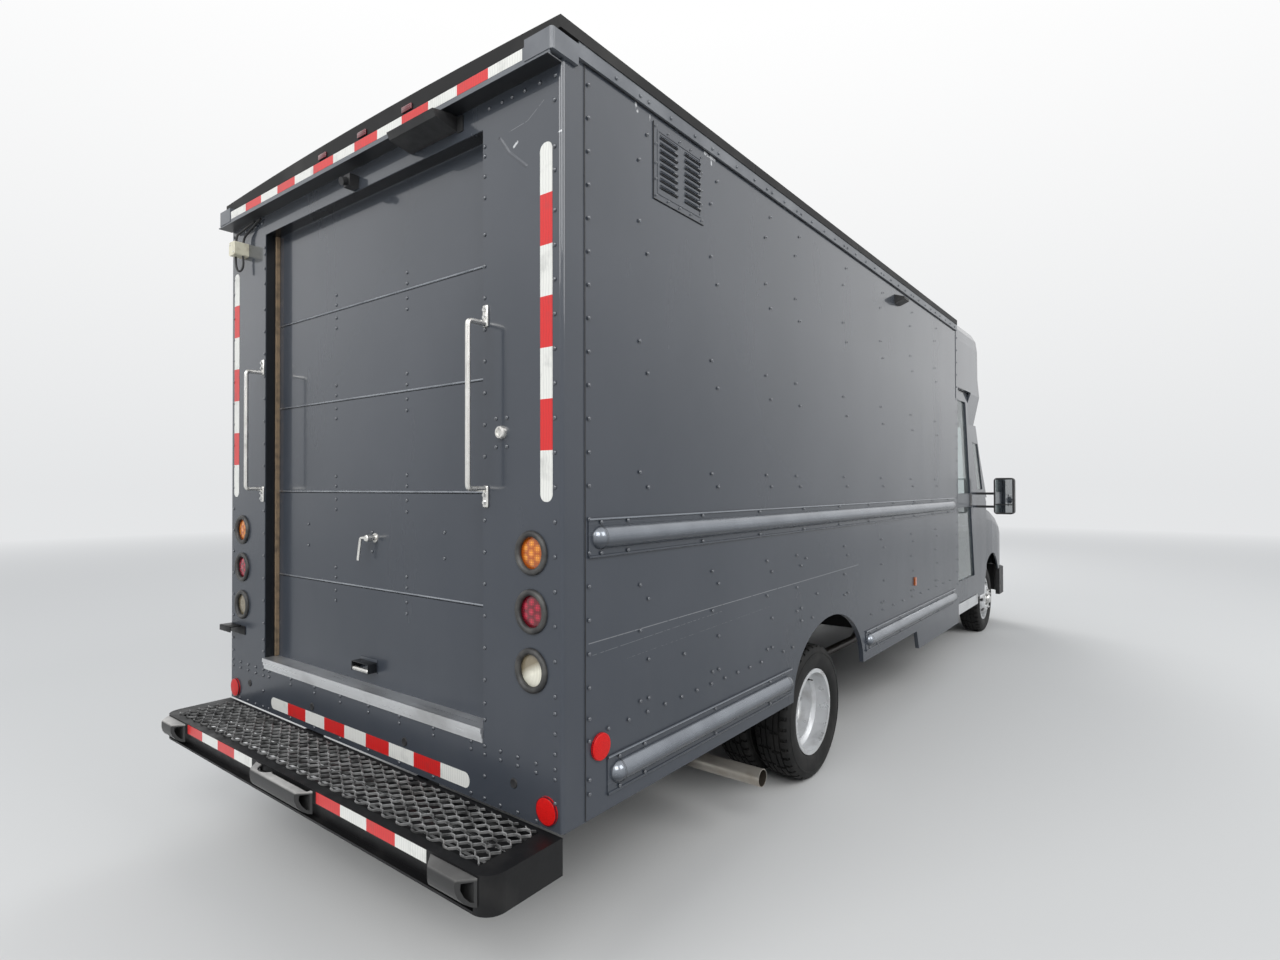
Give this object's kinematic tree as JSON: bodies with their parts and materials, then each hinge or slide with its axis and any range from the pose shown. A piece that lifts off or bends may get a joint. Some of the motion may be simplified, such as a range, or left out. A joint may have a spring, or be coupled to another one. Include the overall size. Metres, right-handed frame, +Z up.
{
  "type": "walk-in delivery van with a rear roll-up door",
  "caption": "Walk-in delivery van: riveted box body with rear roll-up door and mesh step, sliding cab doors, hood and steered wheels.",
  "frame": {"origin": "on the ground, at the middle of the van's overall box", "axes": "+X to the passenger side, +Y forward along the van, +Z up"},
  "size_m": [2.7, 7.8497, 2.8999],
  "materials": {
    "body_paint": "gloss dark blue-grey",
    "black_paint": "satin black",
    "chassis_black": "dull black",
    "cast_metal": "raw casting",
    "wheel_silver": "silver paint",
    "tyre_rubber": "dull",
    "rail_aluminium": "painted pale grey",
    "bare_aluminium": "brushed",
    "stainless": "brushed",
    "exhaust_steel": "dull",
    "moulded_black": "fine grain",
    "dock_rubber": "dull",
    "ivory_plastic": "satin",
    "amber_lens": "gloss",
    "red_lens": "gloss",
    "clear_lens": "gloss",
    "glass": "clear tint",
    "mirror_glass": "polished",
    "grey_trim": "grained",
    "seat_fabric": "woven",
    "floor_metal": "ribbed"
  },
  "bodies": {
    "body": {"amber_lamps": "amber_lens", "bulkhead": "bare_aluminium", "cab_body": "body_paint", "cab_floor": "moulded_black", "cab_windows": "glass", "cargo_floor": "floor_metal", "clear_lamps": "clear_lens", "dashboard": "grey_trim", "dock_bumpers": "dock_rubber", "door_sill": "bare_aluminium", "door_tracks": "bare_aluminium", "driver_seat": "seat_fabric", "engine_block": "cast_metal", "exhaust": "exhaust_steel", "fenders": "body_paint", "frame_rails": "chassis_black", "front_bumper": "moulded_black", "front_cap": "body_paint", "front_suspension": "chassis_black", "fuel_tank": "moulded_black", "grille": "moulded_black", "headlamps": "clear_lens", "junction_box": "ivory_plastic", "lamp_grommets": "dock_rubber", "lamp_housings": "moulded_black", "mirror_glass": "mirror_glass", "mirrors": "moulded_black", "propeller_shaft": "cast_metal", "rear_axle": "cast_metal", "rear_bumper": "black_paint", "rear_door": "body_paint", "rear_frame": "body_paint", "rear_handles": "stainless", "rear_springs": "chassis_black", "rear_visor": "body_paint", "red_lamps": "red_lens", "roof_panel": "black_paint", "roof_rails": "rail_aluminium", "rub_rails": "body_paint", "side_steps": "bare_aluminium", "side_vents": "body_paint", "side_walls": "body_paint", "steering_wheel": "grey_trim", "step_tread": "black_paint"},
    "knuckle_right": {"knuckle_right": "cast_metal"},
    "knuckle_left": {"knuckle_left": "cast_metal"},
    "front_wheel_right": {"front_tyre_right": "tyre_rubber", "front_rim_right": "wheel_silver"},
    "front_wheel_left": {"front_tyre_left": "tyre_rubber", "front_rim_left": "wheel_silver"},
    "rear_wheels_right": {"rear_tyres_right": "tyre_rubber", "rear_rims_right": "wheel_silver"},
    "rear_wheels_left": {"rear_tyres_left": "tyre_rubber", "rear_rims_left": "wheel_silver"},
    "cab_door_right": {"cab_door_right": "body_paint", "door_glass_right": "glass"},
    "cab_door_left": {"cab_door_left": "body_paint", "door_glass_left": "glass"},
    "hood": {"hood": "body_paint"}
  },
  "joints": [
    {"name": "steer_right", "type": "hinge", "parent": "body", "child": "knuckle_right", "pos_m": [0.76736, 2.902, 0.343], "axis": [-0.2086, 0, 0.978], "range_deg": [-33, 33]},
    {"name": "steer_left", "type": "hinge", "parent": "body", "child": "knuckle_left", "pos_m": [-0.76736, 2.902, 0.343], "axis": [0.2086, 0, 0.978], "range_deg": [-33, 33]},
    {"name": "front_roll_right", "type": "hinge", "parent": "knuckle_right", "child": "front_wheel_right", "pos_m": [0.858, 2.902, 0.343], "axis": [1, 0, 0], "continuous": true},
    {"name": "front_roll_left", "type": "hinge", "parent": "knuckle_left", "child": "front_wheel_left", "pos_m": [-0.858, 2.902, 0.343], "axis": [1, 0, 0], "continuous": true},
    {"name": "rear_roll_right", "type": "hinge", "parent": "body", "child": "rear_wheels_right", "pos_m": [0.82, -1.62, 0.343], "axis": [1, 0, 0], "continuous": true},
    {"name": "rear_roll_left", "type": "hinge", "parent": "body", "child": "rear_wheels_left", "pos_m": [-0.82, -1.62, 0.343], "axis": [1, 0, 0], "continuous": true},
    {"name": "door_slide_right", "type": "slide", "parent": "body", "child": "cab_door_right", "axis": [0, -1, 0], "range_m": [0, 0.62]},
    {"name": "door_slide_left", "type": "slide", "parent": "body", "child": "cab_door_left", "axis": [0, -1, 0], "range_m": [0, 0.62]},
    {"name": "hood_hinge", "type": "hinge", "parent": "body", "child": "hood", "pos_m": [0, 2.848, 1.403], "axis": [1, 0, 0], "range_deg": [0, 60]}
  ],
  "couplings": [
    {"joint": "steer_left", "follows": "steer_right", "ratio": 1}
  ]
}
